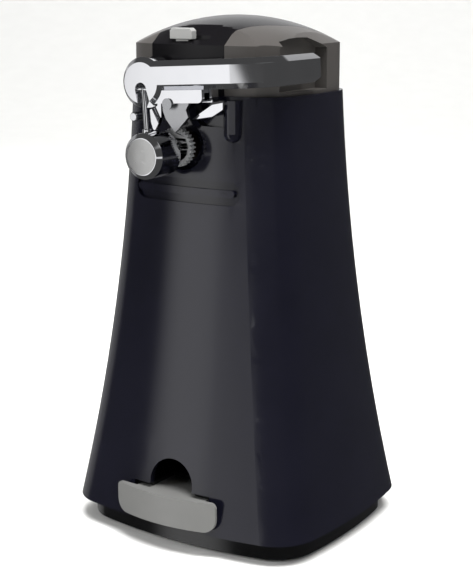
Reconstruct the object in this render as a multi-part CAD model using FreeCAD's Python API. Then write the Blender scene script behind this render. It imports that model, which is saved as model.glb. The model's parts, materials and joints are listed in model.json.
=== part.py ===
"""Electric can opener, modelled piece by piece.

Millimetres. +X is the right-hand side seen from the front, +Y the back, +Z up.
The origin is on the table under the middle of the body.
"""
import FreeCAD, Part
import math
import os

os.makedirs("parts", exist_ok=True)

V = FreeCAD.Vector
DIRECTION = {"x": V(1, 0, 0), "y": V(0, 1, 0), "z": V(0, 0, 1)}

# ---------------------------------------------------------------- driving dimensions
RIM_Z = 11.0                     # lower edge of the tapered shell
SHOULDER_Z = 210.3               # top of the shell, where the head starts
TOP_Z = 245.0                    # highest point of the dome
RIM_HALF = (68.2, 60.6)          # half width and half depth of the shell at its rim
SHOULDER_HALF = (44.8, 39.2)     # the same at its top
FLARE = (3.6, 3.7)               # how far the sides curve in below a straight taper
RIM_CORNER = 21.4                # corner radius at the rim
SHOULDER_CORNER = 19.8           # corner radius at the top
BOW = 4.25                       # radius of a bowed side, in half widths
WALL = 3.0

PLINTH_HALF = (63.1, 54.0)
PLINTH_CORNER = 20.9
PLINTH_Z = 1.5
FEET_AT = (46.0, 36.0)

HEAD_HALF = (43.2, 37.7)
HEAD_CORNER = 18.3
HEAD_EDGE_Z = 232.5              # where the head's upright sides end
HEAD_SLOPE = (6.8, 5.6)          # run and rise of the sloping edge above them
DOME_RADIUS = 96.0
HEAD_WALL = 2.0

RUN = 0.05                       # radial clearance of a running fit
FIX = 0.02                       # radial clearance of a fixed fit
GAP = 0.3                        # clearance between sliding faces

DRIVE_AT = (-3.2, 187.2)         # X and Z of the drive wheel's axis
DRIVE_SHAFT_R = 4.0
WHEEL_TEETH = 28
WHEEL_TIP_R = 9.1
WHEEL_Y = (-46.4, -43.4)
WELL_R = 11.0
WELL_FLOOR_Y = -36.6

FRONT_PLATE_Y = (-33.3, -31.8)
REAR_PLATE_Y = (-13.5, -12.0)
OUTPUT_GEAR = {"module": 1.0, "teeth": 50, "y": (-31.0, -25.6)}
SECOND_PINION = {"module": 1.0, "teeth": 12, "y": (-31.2, -24.9)}
SECOND_WHEEL = {"module": 0.8, "teeth": 48, "y": (-25.0, -20.6)}
FIRST_PINION = {"module": 0.8, "teeth": 12, "y": (-25.2, -19.4)}
FIRST_WHEEL = {"module": 0.6, "teeth": 42, "y": (-19.5, -15.6)}
MOTOR_PINION = {"module": 0.6, "teeth": 10, "y": (-19.5, -15.0)}
SECOND_TURN = -75.0              # direction from the output gear to the second gear, degrees
FIRST_TURN = -110.0              # direction from the second gear to the first
MOTOR_TURN = -76.0               # direction from the first gear to the motor
SECOND_PIN_R = 2.0
FIRST_PIN_R = 1.5
MOTOR_SHAFT_R = 1.8

BOSS_AT = (-18.2, 215.7)         # X and Z of the lever's pivot
BOSS_R = 11.5
BOSS_Y = (-52.0, -40.0)
LEVER_TILT = 3.4                 # the bar rises to the right by this angle
LEVER_SHAFT_R = 3.0
BAR_RISE = 2.93                  # bar's centre line above the boss's centre
BAR_FACE = 8.1                   # height of the bar's flat face
BAR_CHAMFER = 2.5
BAR_DEPTH = 10.0
BAR_SIDE = 5.2                   # thickness of the bar beside the head
BAR_BEND_R = 20.0
BAR_RIGHT_X = 48.5
BAR_END_Y = -4.0

HANG_AT = (-18.2, -49.7, 212.7)  # pin that the magnet's wire swings on
WIRE_R = 1.05
DRUM_AT = (-9.2, 184.2)          # X and Z of the magnet drum's axis
DRUM_R = 10.4
DRUM_Y = (-64.0, -48.4)
DRUM_BEVEL = 2.0
WIRE_FOOT = (-11.4, -56.5, 191.5)

SLOT_HALF_X = 21.5               # slot for the pull-out tool
SLOT_TOP_Z = 28.6
NOTCH_R = 12.0                   # finger notch above it
NOTCH_Z = 30.5
TOOL_HALF_X = 19.5
TOOL_Z = (15.2, 26.4)
TRAY_WALL = 1.6
TRAY_FOOT_Z = TOOL_Z[0] - GAP - TRAY_WALL
HANDLE_HALF_X = 28.0
HANDLE_Z = (13.7, 28.0)

COVER_FOOT_HALF_X = 40.0         # rear cover, at the rim and at the shoulder
COVER_TOP_HALF_X = 22.0
INLET_AT = (0.0, 24.0)


# ---------------------------------------------------------------- shape helpers
def save(name, *solids):
    shape = solids[0] if len(solids) == 1 else Part.makeCompound(list(solids))
    shape.exportStep("parts/" + name + ".step")


def box(x, y, z):
    """Box from three (low, high) pairs."""
    return Part.makeBox(x[1] - x[0], y[1] - y[0], z[1] - z[0], V(x[0], y[0], z[0]))


def rod(radius, start, end):
    start, end = V(*start), V(*end)
    return Part.makeCylinder(radius, (end - start).Length, start, end - start)


def rod_y(radius, at, y):
    """Round bar along Y, centred at (X, Z)."""
    return rod(radius, (at[0], y[0], at[1]), (at[0], y[1], at[1]))


def rod_x(radius, at, x):
    """Round bar along X, centred at (Y, Z)."""
    return rod(radius, (x[0], at[0], at[1]), (x[1], at[0], at[1]))


def rod_z(radius, at, z):
    return rod(radius, (at[0], at[1], z[0]), (at[0], at[1], z[1]))


def prism(outline, axis, low, high):
    """Solid with a flat outline across the named axis, between two places on it."""
    place = {"x": lambda u, v: V(low, u, v), "y": lambda u, v: V(u, low, v), "z": lambda u, v: V(u, v, low)}
    corners = [place[axis](u, v) for u, v in outline]
    face = Part.Face(Part.makePolygon(corners + corners[:1]))
    return face.extrude(DIRECTION[axis] * (high - low))


def round_along(shape, axis, radius, keep=lambda edge: True):
    """Round the straight edges that run along the named axis."""
    def runs_along(edge):
        straight = len(edge.Vertexes) == 2 and isinstance(edge.Curve, Part.Line)
        return straight and abs(edge.tangentAt(edge.FirstParameter).dot(DIRECTION[axis])) > 0.999
    return shape.makeFillet(radius, [edge for edge in shape.Edges if runs_along(edge) and keep(edge)])


def turned(shape, at, degrees):
    """Copy turned about the Y axis through (X, Z), so that +X rises for a positive angle."""
    copy = shape.copy()
    copy.rotate(V(at[0], 0, at[1]), V(0, -1, 0), degrees)
    return copy


def arc(start, middle, end):
    return Part.Arc(V(*start), V(*middle), V(*end)).toShape()


def line(start, end):
    return Part.LineSegment(V(*start), V(*end)).toShape()


# ---------------------------------------------------------------- body outline
def plan_wire(half, corner, z):
    """Closed outline at height z: four bowed sides joined by tangent round corners."""
    side_x, side_y = BOW * half[0], BOW * half[1]
    away_x, away_y = half[0] - side_x, half[1] - side_y
    span = math.hypot(away_x, away_y)
    reach_x, reach_y = side_x - corner, side_y - corner
    along = (reach_x ** 2 - reach_y ** 2 + span ** 2) / (2 * span)
    across = math.sqrt(reach_x ** 2 - along ** 2)
    unit = (-away_x / span, away_y / span)
    centre_x = away_x + along * unit[0] - across * unit[1]
    centre_y = along * unit[1] + across * unit[0]
    to_side = math.atan2(centre_y, centre_x - away_x)
    to_back = math.atan2(centre_y - away_y, centre_x)
    middle = (to_side + to_back) / 2
    side = (away_x + side_x * math.cos(to_side), side_x * math.sin(to_side))
    back = (side_y * math.cos(to_back), away_y + side_y * math.sin(to_back))
    bend = (centre_x + corner * math.cos(middle), centre_y + corner * math.sin(middle))

    def at(point, sign_x, sign_y):
        return (sign_x * point[0], sign_y * point[1], z)

    edges = [
        arc(at(side, 1, -1), (half[0], 0, z), at(side, 1, 1)),
        arc(at(side, 1, 1), at(bend, 1, 1), at(back, 1, 1)),
        arc(at(back, 1, 1), (0, half[1], z), at(back, -1, 1)),
        arc(at(back, -1, 1), at(bend, -1, 1), at(side, -1, 1)),
        arc(at(side, -1, 1), (-half[0], 0, z), at(side, -1, -1)),
        arc(at(side, -1, -1), at(bend, -1, -1), at(back, -1, -1)),
        arc(at(back, -1, -1), (0, -half[1], z), at(back, 1, -1)),
        arc(at(back, 1, -1), at(bend, 1, -1), at(side, 1, -1)),
    ]
    return Part.Wire(edges)


def between(pair_low, pair_high, t):
    return pair_low + (pair_high - pair_low) * t


def bell(z, inset):
    """Solid of the tapered body between two heights, drawn in by an inset."""
    wires = []
    for step in range(6):
        height = between(z[0], z[1], step / 5)
        t = (height - RIM_Z) / (SHOULDER_Z - RIM_Z)
        sag = 4 * t * (1 - t)
        half = [between(RIM_HALF[i], SHOULDER_HALF[i], t) - FLARE[i] * sag - inset for i in (0, 1)]
        corner = between(RIM_CORNER, SHOULDER_CORNER, t) - inset
        wires.append(plan_wire(half, corner, height))
    return Part.makeLoft(wires, True, False)


def slab(half, corner, z):
    """Upright solid with the body's kind of outline."""
    return Part.Face(plan_wire(half, corner, z[0])).extrude(V(0, 0, z[1] - z[0]))


def head_solid(inset):
    """Head: upright sides, a sloping edge and a shallow dome, drawn in by an inset."""
    half = [HEAD_HALF[0] - inset, HEAD_HALF[1] - inset]
    corner = HEAD_CORNER - inset
    sides = slab(half, corner, (SHOULDER_Z, HEAD_EDGE_Z))
    rise = TOP_Z - HEAD_EDGE_Z
    run = rise * HEAD_SLOPE[0] / HEAD_SLOPE[1]
    wires = [plan_wire(half, corner, HEAD_EDGE_Z),
             plan_wire([half[0] - run, half[1] - run], corner - run, TOP_Z)]
    slope = Part.makeLoft(wires, True, True)
    dome = Part.makeSphere(DOME_RADIUS - inset, V(0, 0, TOP_Z - DOME_RADIUS))
    return sides.fuse(slope).removeSplitter().common(dome)


# ---------------------------------------------------------------- gears
PRESSURE = math.radians(25)
BACKLASH = 0.07                  # each tooth is thinner than half a pitch by this, in modules


def place_from(centre, distance, degrees):
    angle = math.radians(degrees)
    return (centre[0] + distance * math.cos(angle), centre[1] + distance * math.sin(angle))


def gear(spec, centre, phase, bore):
    """Spur gear across Y with involute flanks. phase is the angle of one tooth, in degrees."""
    module, teeth = spec["module"], spec["teeth"]
    pitch_r = module * teeth / 2
    base_r = pitch_r * math.cos(PRESSURE)
    tip_r = pitch_r + 0.8 * module
    root_r = pitch_r - 1.02 * module
    half_tooth = (math.pi / 2 - 2 * BACKLASH) / teeth
    roll_pitch = math.tan(PRESSURE) - PRESSURE

    def flank_angle(radius):
        tilt = math.acos(min(1.0, base_r / radius))
        return half_tooth + roll_pitch - (math.tan(tilt) - tilt)

    def point(radius, angle):
        return V(centre[0] + radius * math.cos(angle), spec["y"][0], centre[1] + radius * math.sin(angle))

    start_r = max(base_r, root_r)
    middle_r = (start_r + tip_r) / 2
    edges = []
    for tooth in range(teeth):
        axis = math.radians(phase) + 2 * math.pi * tooth / teeth
        following = axis + 2 * math.pi / teeth
        foot, waist, tip = (flank_angle(radius) for radius in (start_r, middle_r, tip_r))
        if start_r > root_r:
            edges.append(Part.LineSegment(point(root_r, axis - foot), point(start_r, axis - foot)))
        edges.append(Part.Arc(point(start_r, axis - foot), point(middle_r, axis - waist), point(tip_r, axis - tip)))
        edges.append(Part.Arc(point(tip_r, axis - tip), point(tip_r, axis), point(tip_r, axis + tip)))
        edges.append(Part.Arc(point(tip_r, axis + tip), point(middle_r, axis + waist), point(start_r, axis + foot)))
        if start_r > root_r:
            edges.append(Part.LineSegment(point(start_r, axis + foot), point(root_r, axis + foot)))
        middle = axis + math.pi / teeth
        edges.append(Part.Arc(point(root_r, axis + foot), point(root_r, middle), point(root_r, following - foot)))
    outline = Part.Wire([edge.toShape() for edge in edges])
    solid = Part.Face(outline).extrude(V(0, spec["y"][1] - spec["y"][0], 0))
    return solid.cut(rod_y(bore, centre, (spec["y"][0] - 1, spec["y"][1] + 1)))


def mesh_phase(driver, driver_phase, direction, follower):
    """Tooth angle of a gear that meshes with a driver lying in the opposite direction."""
    pitch = 360 / driver["teeth"]
    offset = ((driver_phase - direction) / pitch) % 1
    return direction + 180 + (0.5 - offset) * 360 / follower["teeth"]


def centre_distance(one, other):
    return one["module"] * (one["teeth"] + other["teeth"]) / 2


SECOND_AT = place_from(DRIVE_AT, centre_distance(OUTPUT_GEAR, SECOND_PINION), SECOND_TURN)
FIRST_AT = place_from(SECOND_AT, centre_distance(SECOND_WHEEL, FIRST_PINION), FIRST_TURN)
MOTOR_AT = place_from(FIRST_AT, centre_distance(FIRST_WHEEL, MOTOR_PINION), MOTOR_TURN)


def gear_train():
    """Four steps of gearing from the motor up to the drive shaft."""
    output = gear(OUTPUT_GEAR, DRIVE_AT, 0, DRIVE_SHAFT_R + FIX)
    for turn in range(5):
        hole_at = place_from(DRIVE_AT, 15.5, 72 * turn + 18)
        output = output.cut(rod_y(5.0, hole_at, OUTPUT_GEAR["y"]))
    save("output_gear", output)

    phase = mesh_phase(OUTPUT_GEAR, 0, SECOND_TURN, SECOND_PINION)
    pinion = gear(SECOND_PINION, SECOND_AT, phase, SECOND_PIN_R + RUN)
    wheel = gear(SECOND_WHEEL, SECOND_AT, 0, SECOND_PIN_R + RUN)
    save("reduction_gear", pinion.fuse(wheel))

    phase = mesh_phase(SECOND_WHEEL, 0, FIRST_TURN, FIRST_PINION)
    pinion = gear(FIRST_PINION, FIRST_AT, phase, FIRST_PIN_R + RUN)
    wheel = gear(FIRST_WHEEL, FIRST_AT, 0, FIRST_PIN_R + RUN)
    save("motor_gear", pinion.fuse(wheel))

    phase = mesh_phase(FIRST_WHEEL, 0, MOTOR_TURN, MOTOR_PINION)
    save("motor_pinion", gear(MOTOR_PINION, MOTOR_AT, phase, MOTOR_SHAFT_R + FIX))


def gear_case():
    """Two steel plates held apart by pillars, with the fixed gear pins riveted between them."""
    pillars_at = [(-24.0, 158.0), (26.5, 166.0), (-22.0, 118.0), (22.0, 118.0)]
    low_z = 106.0
    front = prism([(-30, low_z), (30, low_z), (29, 168), (22, 204), (-12, 204), (-12, 223),
                   (-21, 223), (-22, 204), (-29, 168)], "y", *FRONT_PLATE_Y)
    rear = prism([(-30, low_z - 8), (30, low_z - 8), (30, 170), (14, 206), (-20, 206), (-30, 170)],
                 "y", *REAR_PLATE_Y)
    through = (FRONT_PLATE_Y[0] - 1, REAR_PLATE_Y[1] + 1)
    for pin_at, radius in ((SECOND_AT, SECOND_PIN_R), (FIRST_AT, FIRST_PIN_R)):
        front = front.cut(rod_y(radius + FIX, pin_at, through))
        rear = rear.cut(rod_y(radius + FIX, pin_at, through))
    front = front.cut(rod_y(BUSH_R + FIX, DRIVE_AT, through))
    front = front.cut(rod_y(LEVER_BUSH_R + FIX, BOSS_AT, through))
    rear = rear.cut(rod_y(BUSH_R + FIX, DRIVE_AT, through))
    rear = rear.cut(rod_y(MOTOR_SHAFT_R + RUN, MOTOR_AT, through))
    for side in (-1, 1):
        screw_at = (MOTOR_AT[0] + side * MOTOR_SCREW_X, MOTOR_AT[1])
        rear = rear.cut(rod_y(MOTOR_SCREW_R + FIX, screw_at, through))
    save("front_gear_plate", front)
    save("rear_gear_plate", rear)
    save("plate_spacers", *[rod_y(3.0, at, (FRONT_PLATE_Y[1], REAR_PLATE_Y[0])) for at in pillars_at])
    pins_y = (FRONT_PLATE_Y[0], REAR_PLATE_Y[1])
    save("gear_pins", rod_y(SECOND_PIN_R, SECOND_AT, pins_y), rod_y(FIRST_PIN_R, FIRST_AT, pins_y))


# ---------------------------------------------------------------- drive shaft and wheel
BUSH_R = 6.0
BUSH_FLANGE_R = 6.9


def drive():
    """Feed wheel on its shaft, with the bushes that carry the shaft."""
    shaft_y = (-46.4, -9.0)
    front_y = (WELL_FLOOR_Y, FRONT_PLATE_Y[1] + 0.4)
    front = rod_y(BUSH_R, DRIVE_AT, front_y)
    front = front.fuse(rod_y(BUSH_FLANGE_R, DRIVE_AT, (WELL_FLOOR_Y - 1.2, WELL_FLOOR_Y)))
    save("front_bush", front.cut(rod_y(DRIVE_SHAFT_R + RUN, DRIVE_AT, shaft_y)))
    rear = rod_y(BUSH_R, DRIVE_AT, (REAR_PLATE_Y[0] - 2, REAR_PLATE_Y[1] + 1.5))
    save("rear_bush", rear.cut(rod_y(DRIVE_SHAFT_R + RUN, DRIVE_AT, (shaft_y[0], 0))))

    thread_r = 2.5
    nut_y = (WHEEL_Y[0] - 1.4, WHEEL_Y[0])
    shaft = rod_y(DRIVE_SHAFT_R, DRIVE_AT, (WHEEL_Y[1], shaft_y[1]))
    shaft = shaft.fuse(rod_y(thread_r, DRIVE_AT, (shaft_y[0] - 1.6, WHEEL_Y[1])))
    save("drive_shaft", shaft)

    corners = []
    for tooth in range(WHEEL_TEETH):
        turn = 360 * tooth / WHEEL_TEETH
        half_pitch = 180 / WHEEL_TEETH
        corners.append(place_from(DRIVE_AT, WHEEL_TIP_R, turn - 0.25 * half_pitch))
        corners.append(place_from(DRIVE_AT, WHEEL_TIP_R, turn + 0.25 * half_pitch))
        corners.append(place_from(DRIVE_AT, WHEEL_TIP_R - 0.9, turn + half_pitch))
    wheel = prism(corners, "y", *WHEEL_Y)
    save("drive_wheel", wheel.cut(rod_y(thread_r + FIX, DRIVE_AT, WHEEL_Y)))

    flats = [place_from(DRIVE_AT, 4.3, 60 * corner + 15) for corner in range(6)]
    save("wheel_nut", prism(flats, "y", *nut_y).cut(rod_y(thread_r + FIX, DRIVE_AT, nut_y)))


# ---------------------------------------------------------------- motor
MOTOR_SCREW_X = 18.5
MOTOR_SCREW_R = 1.5
STACK_Y = (-6.0, 14.0)
ROTOR_R = 12.0
BRACKET_Y = (24.0, 25.5)


def motor():
    """Shaded-pole motor: steel stack with its coil on the lower limb and a plain rotor."""
    x, z = MOTOR_AT
    stack = box((x - 24, x + 24), STACK_Y, (z - 38, z + 17))
    window = box((x - 14.5, x + 14.5), STACK_Y, (z - 28.5, z - 17))
    stack = stack.cut(window).cut(rod_y(ROTOR_R + 0.4, MOTOR_AT, STACK_Y))
    for side in (-1, 1):
        stack = stack.cut(rod_y(MOTOR_SCREW_R + FIX, (x + side * MOTOR_SCREW_X, z), STACK_Y))
    save("motor_frame", stack)

    coil_y = (STACK_Y[0] - 5, STACK_Y[1] + 5)
    coil = box((x - 13.5, x + 13.5), coil_y, (z - 43, z - 18))
    coil = round_along(coil, "x", 3.0)
    limb = box((x - 14, x + 14), (STACK_Y[0] - FIX, STACK_Y[1] + FIX), (z - 38 - FIX, z - 28.5 + FIX))
    save("motor_coil", coil.cut(limb))

    bracket = box((x - 24, x + 24), BRACKET_Y, (z - 9, z + 9))
    bracket = bracket.cut(rod_y(MOTOR_SHAFT_R + RUN, MOTOR_AT, BRACKET_Y))
    screws = []
    for side in (-1, 1):
        screw_at = (x + side * MOTOR_SCREW_X, z)
        bracket = bracket.cut(rod_y(MOTOR_SCREW_R + FIX, screw_at, BRACKET_Y))
        head = rod_y(2.8, screw_at, (BRACKET_Y[1], BRACKET_Y[1] + 1.8))
        screws.append(head.fuse(rod_y(MOTOR_SCREW_R, screw_at, (REAR_PLATE_Y[0], BRACKET_Y[1]))))
    save("motor_bracket", bracket)
    save("motor_screws", *screws)

    rotor = rod_y(ROTOR_R, MOTOR_AT, STACK_Y)
    save("motor_rotor", rotor.cut(rod_y(MOTOR_SHAFT_R + FIX, MOTOR_AT, STACK_Y)))
    save("rotor_shaft", rod_y(MOTOR_SHAFT_R, MOTOR_AT, (MOTOR_PINION["y"][0], BRACKET_Y[1] + 3)))


# ---------------------------------------------------------------- body
SCREW_BOSSES = [(x, y) for x in (-44.0, 44.0) for y in (-24.0, 24.0)]
COVER_SCREWS_Z = (60.0, 190.0)
LEVER_BUSH_R = 4.5


def cover_prism(grow):
    """Upright wedge that parts the rear cover from the main housing."""
    foot, top = COVER_FOOT_HALF_X + grow, COVER_TOP_HALF_X + grow
    high_z = 204.0 + grow
    return prism([(-foot, RIM_Z - 5), (foot, RIM_Z - 5), (top, high_z), (-top, high_z)], "y", 5, 80)


def tool_slot(grow):
    """Space that the pull-out tool and a finger need at the bottom front."""
    half = SLOT_HALF_X + grow
    slot = box((-half, half), (-70, -40), (RIM_Z - 5, SLOT_TOP_Z))
    notch = rod_y(NOTCH_R, (0, NOTCH_Z), (-70, -40))
    return slot.fuse(notch)


def front_band():
    """Raised band across the front, between two shallow grooves."""
    groove_x, groove_z = (-31.0, 27.0), (161.5, 172.4)
    band_x, band_z = (-30.0, 24.3), (165.4, 168.6)
    skin = bell((155, 175), -0.01).cut(bell((155, 175), 1.5))
    groove = skin.common(round_along(box(groove_x, (-60, -20), groove_z), "y", 5.2))
    raised = bell((155, 175), -0.3).cut(bell((155, 175), 2.0))
    band = raised.common(round_along(box(band_x, (-60, -20), band_z), "y", 1.5))
    return groove, band


def housing_shell():
    outer = bell((RIM_Z, SHOULDER_Z), 0)
    inner = bell((RIM_Z - 4, SHOULDER_Z - 2.5), WALL)
    shell = outer.cut(inner)
    deck_opening = box((-33, 33), (-35.3, 30), (SHOULDER_Z - 4, SHOULDER_Z + 1))
    return shell.cut(deck_opening)


def housing(shell):
    """Main shell with the features round the drive wheel and the tool's slot."""
    body = shell.cut(cover_prism(0.25))
    groove, band = front_band()
    body = body.cut(groove).fuse(band)

    pad = rod_y(WELL_R + 2.5, DRIVE_AT, (-39, -35.0)).common(bell((160, SHOULDER_Z), 0.5))
    body = body.fuse(pad)
    body = body.cut(rod_y(WELL_R, DRIVE_AT, (-60, WELL_FLOOR_Y)))
    body = body.cut(rod_y(BUSH_R + 0.1, DRIVE_AT, (-60, -30)))
    pocket = prism([(3.6, 199.2), (6.9, 196.7), (18.0, 196.5), (18.0, 206), (3.6, 206)], "y", -60, -37.4)
    body = body.cut(pocket)

    rib_at, rib_r, rib_foot_z = (22.6, -38.4), 4.1, 194.1
    rib = rod_z(rib_r, rib_at, (rib_foot_z, 208.8)).fuse(Part.makeSphere(rib_r, V(*rib_at, rib_foot_z)))
    body = body.fuse(rib.cut(bell((170, SHOULDER_Z), 1.5)))
    body = body.cut(rod_y(2.2 + FIX, STUD_AT, (-60, -30)))

    body = body.cut(tool_slot(0))
    for x, y in SCREW_BOSSES:
        side = math.copysign(1, x)
        post_z = (RIM_Z + 4, RIM_Z + 26)
        rib = box(sorted((x, x + 26 * side)), (y - 1.2, y + 1.2), post_z)
        post = rod_z(5.0, (x, y), post_z).fuse(rib.common(bell((RIM_Z, 60), WALL - 0.5)))
        body = body.fuse(post).cut(rod_z(1.5 + FIX, (x, y), (RIM_Z, RIM_Z + 19)))
    for x, z in ((-24.0, 158.0), (26.5, 166.0), (-22.0, 118.0), (22.0, 118.0)):
        stud = rod_y(3.5, (x, z), (-48, FRONT_PLATE_Y[0])).common(bell((100, SHOULDER_Z), WALL - 0.5))
        body = body.fuse(stud)
    for z in COVER_SCREWS_Z:
        surface_y = cover_surface_y(z)
        bridge = box((-70, 70), (surface_y - 18, surface_y - 9), (z - 5, z + 5))
        bridge = bridge.common(bell((z - 10, z + 10), WALL - 0.5)).cut(rod_y(1.5 + FIX, (0, z), (0, 80)))
        body = body.fuse(bridge)
    save("main_housing", body.removeSplitter())


def cover(shell):
    """Rear cover: the back wall of the shell, with vents and the cord's inlet."""
    panel = shell.common(cover_prism(0))
    panel = panel.cut(rod_y(INLET_R + FIX, INLET_AT, (30, 80)))
    for row in range(6):
        vent_z = 92 + 7 * row
        vent = box((-17, 17), (20, 80), (vent_z, vent_z + 2.6))
        panel = panel.cut(round_along(vent, "y", 1.25))
    screws = []
    for z in COVER_SCREWS_Z:
        surface_y = cover_surface_y(z)
        panel = panel.fuse(rod_y(4.5, (0, z), (surface_y - 8.8, surface_y - 1.5)))
        panel = panel.cut(rod_y(1.7, (0, z), (10, 80))).cut(rod_y(3.2, (0, z), (surface_y - 1.2, 80)))
        stem = rod_y(1.5, (0, z), (surface_y - 16, surface_y - 1.2))
        head = rod_y(2.9, (0, z), (surface_y - 1.2, surface_y - 0.1))
        recess = box((-1.9, 1.9), (surface_y - 0.8, surface_y), (z - 0.35, z + 0.35))
        screws.append(stem.fuse(head).cut(recess).cut(turned(recess, (0, z), 90)))
    save("rear_cover", panel)
    save("rear_screws", *screws)


def cover_surface_y(z):
    """Y of the shell's back at height z."""
    t = (z - RIM_Z) / (SHOULDER_Z - RIM_Z)
    return between(RIM_HALF[1], SHOULDER_HALF[1], t) - FLARE[1] * 4 * t * (1 - t)


INLET_R = 6.0
CORD_R = 3.4


def cord_inlet():
    """Rubber grommet in the rear cover. Its flanges hold it from both sides."""
    outer_y = cover_surface_y(INLET_AT[1])
    sleeve = rod_y(INLET_R, INLET_AT, (outer_y - 8, outer_y))
    flange = rod_y(8.0, INLET_AT, (outer_y - 12, outer_y + 10))
    outside = flange.common(bell((RIM_Z, 45), -3.6)).cut(bell((RIM_Z - 1, 46), -0.02))
    inside = flange.common(bell((RIM_Z, 45), WALL + 0.02)).cut(bell((RIM_Z - 1, 46), WALL + 2.4))
    grommet = max(outside.Solids, key=lambda solid: solid.CenterOfMass.y).fuse(inside).fuse(sleeve)
    save("cord_inlet", grommet.cut(rod_y(CORD_R, INLET_AT, (outer_y - 20, outer_y + 10))))


def base():
    """Plinth tray, its feet and the screws up into the shell."""
    outer = slab(PLINTH_HALF, PLINTH_CORNER, (PLINTH_Z, RIM_Z))
    hollow = slab((PLINTH_HALF[0] - WALL, PLINTH_HALF[1] - WALL), PLINTH_CORNER - WALL, (PLINTH_Z + 3, RIM_Z + 1))
    plinth = outer.cut(hollow)
    lip = box((-SLOT_HALF_X, SLOT_HALF_X), (-PLINTH_HALF[1] + 1.2, -46), (RIM_Z - 3, RIM_Z + 1.5))
    plinth = plinth.fuse(lip)
    for side in (-1, 1):
        plinth = plinth.fuse(box((side * 15 - 1.5, side * 15 + 1.5), (-44, 14), (PLINTH_Z + 2, TRAY_FOOT_Z)))
    screws, feet = [], []
    for x, y in SCREW_BOSSES:
        post = rod_z(5.0, (x, y), (PLINTH_Z, RIM_Z + 4))
        plinth = plinth.fuse(post).cut(rod_z(1.7, (x, y), (0, 30))).cut(rod_z(3.4, (x, y), (0, 6)))
        screws.append(rod_z(1.5, (x, y), (6, RIM_Z + 18)).fuse(rod_z(3.0, (x, y), (4, 6))))
    for x in (-FEET_AT[0], FEET_AT[0]):
        for y in (-FEET_AT[1], FEET_AT[1]):
            plinth = plinth.cut(rod_z(5.5 + FIX, (x, y), (0, PLINTH_Z + 1)))
            foot = rod_z(5.5, (x, y), (0, PLINTH_Z + 1))
            feet.append(foot.makeChamfer(0.5, [e for e in foot.Edges if e.BoundBox.ZMax < 0.1]))
    save("base_plate", plinth.removeSplitter())
    save("base_screws", *screws)
    save("rubber_feet", *feet)


# ---------------------------------------------------------------- head
KNOB_X = (-12.8, -0.6)
KNOB_Y = (-36.9, -33.0)
KNOB_Z = (234.8, 239.8)
KNOB_TRAVEL = 7.4
ARCH_FLOOR_X = 36.6              # recess round the lever's end, in the head's right side


def arch_prism(grow, floor_x, foot_z):
    """Solid of the recess: straight sides under an arched top."""
    low_y, high_y = -26.5 - grow, 9.2 + grow
    outline = [(low_y, foot_z), (low_y, 231.2 + grow), (-23.8, 234.2 + grow), (-17, 235.4 + grow),
               (-11, 235.7 + grow), (-3.2, 235.5 + grow), (3, 232.8 + grow), (high_y, 230.5 + grow),
               (high_y, foot_z)]
    return prism(outline, "x", floor_x, 60)


def cap_prism(shrink):
    """Plan outline of the black panel: narrow at the front, wide over the back."""
    right = [(17.0, -60), (17.0, -31), (20.5, -21), (28, -7), (33.5, 12), (33.5, 60)]
    left = [(-33.5, 60), (-33.5, 12), (-28, -7), (-24.5, -21), (-23.4, -31), (-23.4, -60)]
    outline = [(x - shrink if x > 0 else x + shrink, y) for x, y in right + left]
    return prism(outline, "z", SHOULDER_Z - 1, TOP_Z + 1)


def head():
    """Grey shroud and the black cap that lies in its middle."""
    outer = head_solid(0)
    inner = head_solid(HEAD_WALL).fuse(slab([h - HEAD_WALL for h in HEAD_HALF], HEAD_CORNER - HEAD_WALL,
                                            (SHOULDER_Z - 1, SHOULDER_Z + 1)))
    arch = arch_prism(0, ARCH_FLOOR_X, SHOULDER_Z + 1.6)
    arch_wall = arch_prism(HEAD_WALL, ARCH_FLOOR_X - HEAD_WALL, SHOULDER_Z)
    scallop = rod_z(14.6, (0, 0), (0, 24))
    scallop.rotate(V(0, 0, 0), V(0, 1, 0), 90)
    scallop.rotate(V(0, 0, 0), V(0, 0, 1), -45)
    scallop.translate(V(34.2, -31.7, 219.9))

    shell = outer.cut(inner)
    shroud = shell.fuse(arch_wall.common(outer)).cut(cap_prism(0)).cut(arch).cut(scallop)
    cap = shell.common(cap_prism(0.15))
    knob_bed = box((-16, 12), (-36.4, -28.0), (231.2, 240)).common(outer)
    spring_stop = box((18, 19.6), (-36, -28.6), (226.5, 234))
    cap = cap.fuse(knob_bed.fuse(spring_stop))
    window_x = (KNOB_X[0] - GAP, KNOB_X[1] + KNOB_TRAVEL + GAP)
    cap = cap.cut(box(window_x, (-60, KNOB_Y[1] + GAP), (KNOB_Z[0] - GAP, 250)))
    cap = cap.cut(box((NECK_X[0] - GAP, NECK_X[1] + KNOB_TRAVEL + GAP),
                      (NECK_Y[0] - GAP, NECK_Y[1] + GAP), (225, 250)))
    cap = cap.cut(rod_y(LEVER_BUSH_R + 0.1, BOSS_AT, (-60, -30)))
    cheeks = sorted(shroud.Solids, key=lambda solid: -solid.Volume)[:2]
    left, right = sorted(cheeks, key=lambda solid: solid.CenterOfMass.x)
    save("left_cheek", left.cut(rod_y(LEVER_BUSH_R + 0.1, BOSS_AT, (-60, -30))))
    save("right_cheek", right)
    save("top_cap", max(cap.Solids, key=lambda solid: solid.Volume))


NECK_X = (-9.4, -2.4)
NECK_Y = (-34.4, -33.0)
LATCH_Z = (227.6, 230.6)


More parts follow.
